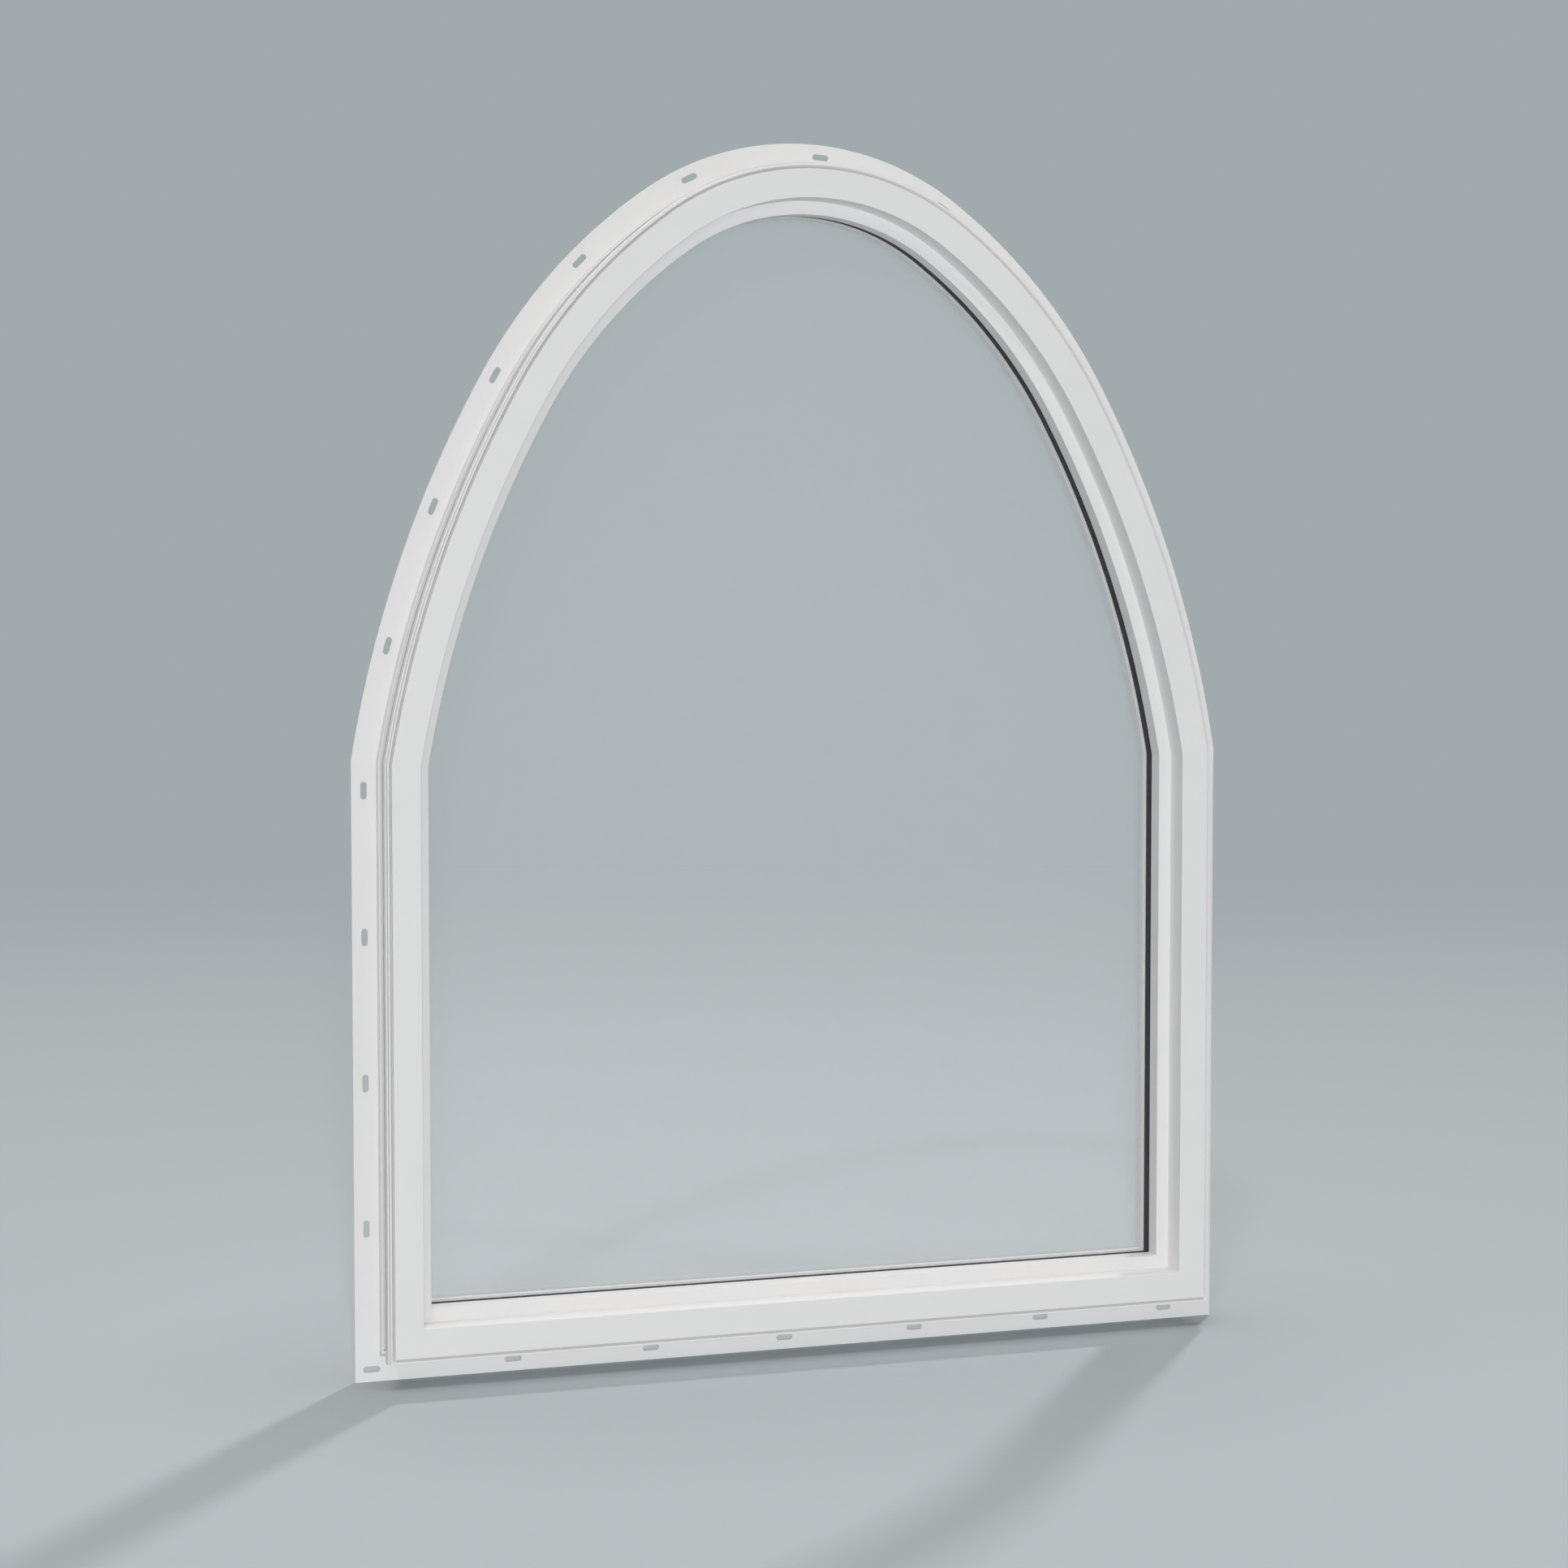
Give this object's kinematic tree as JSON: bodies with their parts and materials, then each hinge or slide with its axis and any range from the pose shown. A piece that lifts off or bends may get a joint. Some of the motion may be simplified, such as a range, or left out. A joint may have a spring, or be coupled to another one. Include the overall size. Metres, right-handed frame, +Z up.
{
  "type": "arched top picture window",
  "caption": "Fixed arched top window: white vinyl frame with stepped reveals, a slotted nailing fin all round, insulating glass and snap-in glazing beads.",
  "frame": {"origin": "middle of the bottom edge of the nailing fin, on the fin's back face where it meets the wall", "axes": "+X to the right seen from outside, +Y into the wall towards the room, +Z up"},
  "size_m": [0.9652, 0.0826, 1.2699],
  "materials": {
    "white_vinyl": "satin extruded white vinyl",
    "white_vinyl_fin": "satin extruded white vinyl",
    "clear_glass": "clear float glass",
    "black_spacer": "matte black spacer and edge seal",
    "glazing_tape": "matte black foam tape",
    "setting_block": "matte black rubber"
  },
  "bodies": {
    "root": {"sill": "white_vinyl", "left_jamb": "white_vinyl", "right_jamb": "white_vinyl", "arched_head": "white_vinyl", "sill_bead": "white_vinyl", "left_bead": "white_vinyl", "right_bead": "white_vinyl", "arch_bead": "white_vinyl", "sill_fin": "white_vinyl_fin", "left_fin": "white_vinyl_fin", "right_fin": "white_vinyl_fin", "arch_fin": "white_vinyl_fin", "outer_pane": "clear_glass", "inner_pane": "clear_glass", "sill_spacer": "black_spacer", "left_spacer": "black_spacer", "right_spacer": "black_spacer", "arch_spacer": "black_spacer", "sill_tape": "glazing_tape", "left_tape": "glazing_tape", "right_tape": "glazing_tape", "arch_tape": "glazing_tape", "left_setting_block": "setting_block", "right_setting_block": "setting_block"}
  },
  "joints": []
}
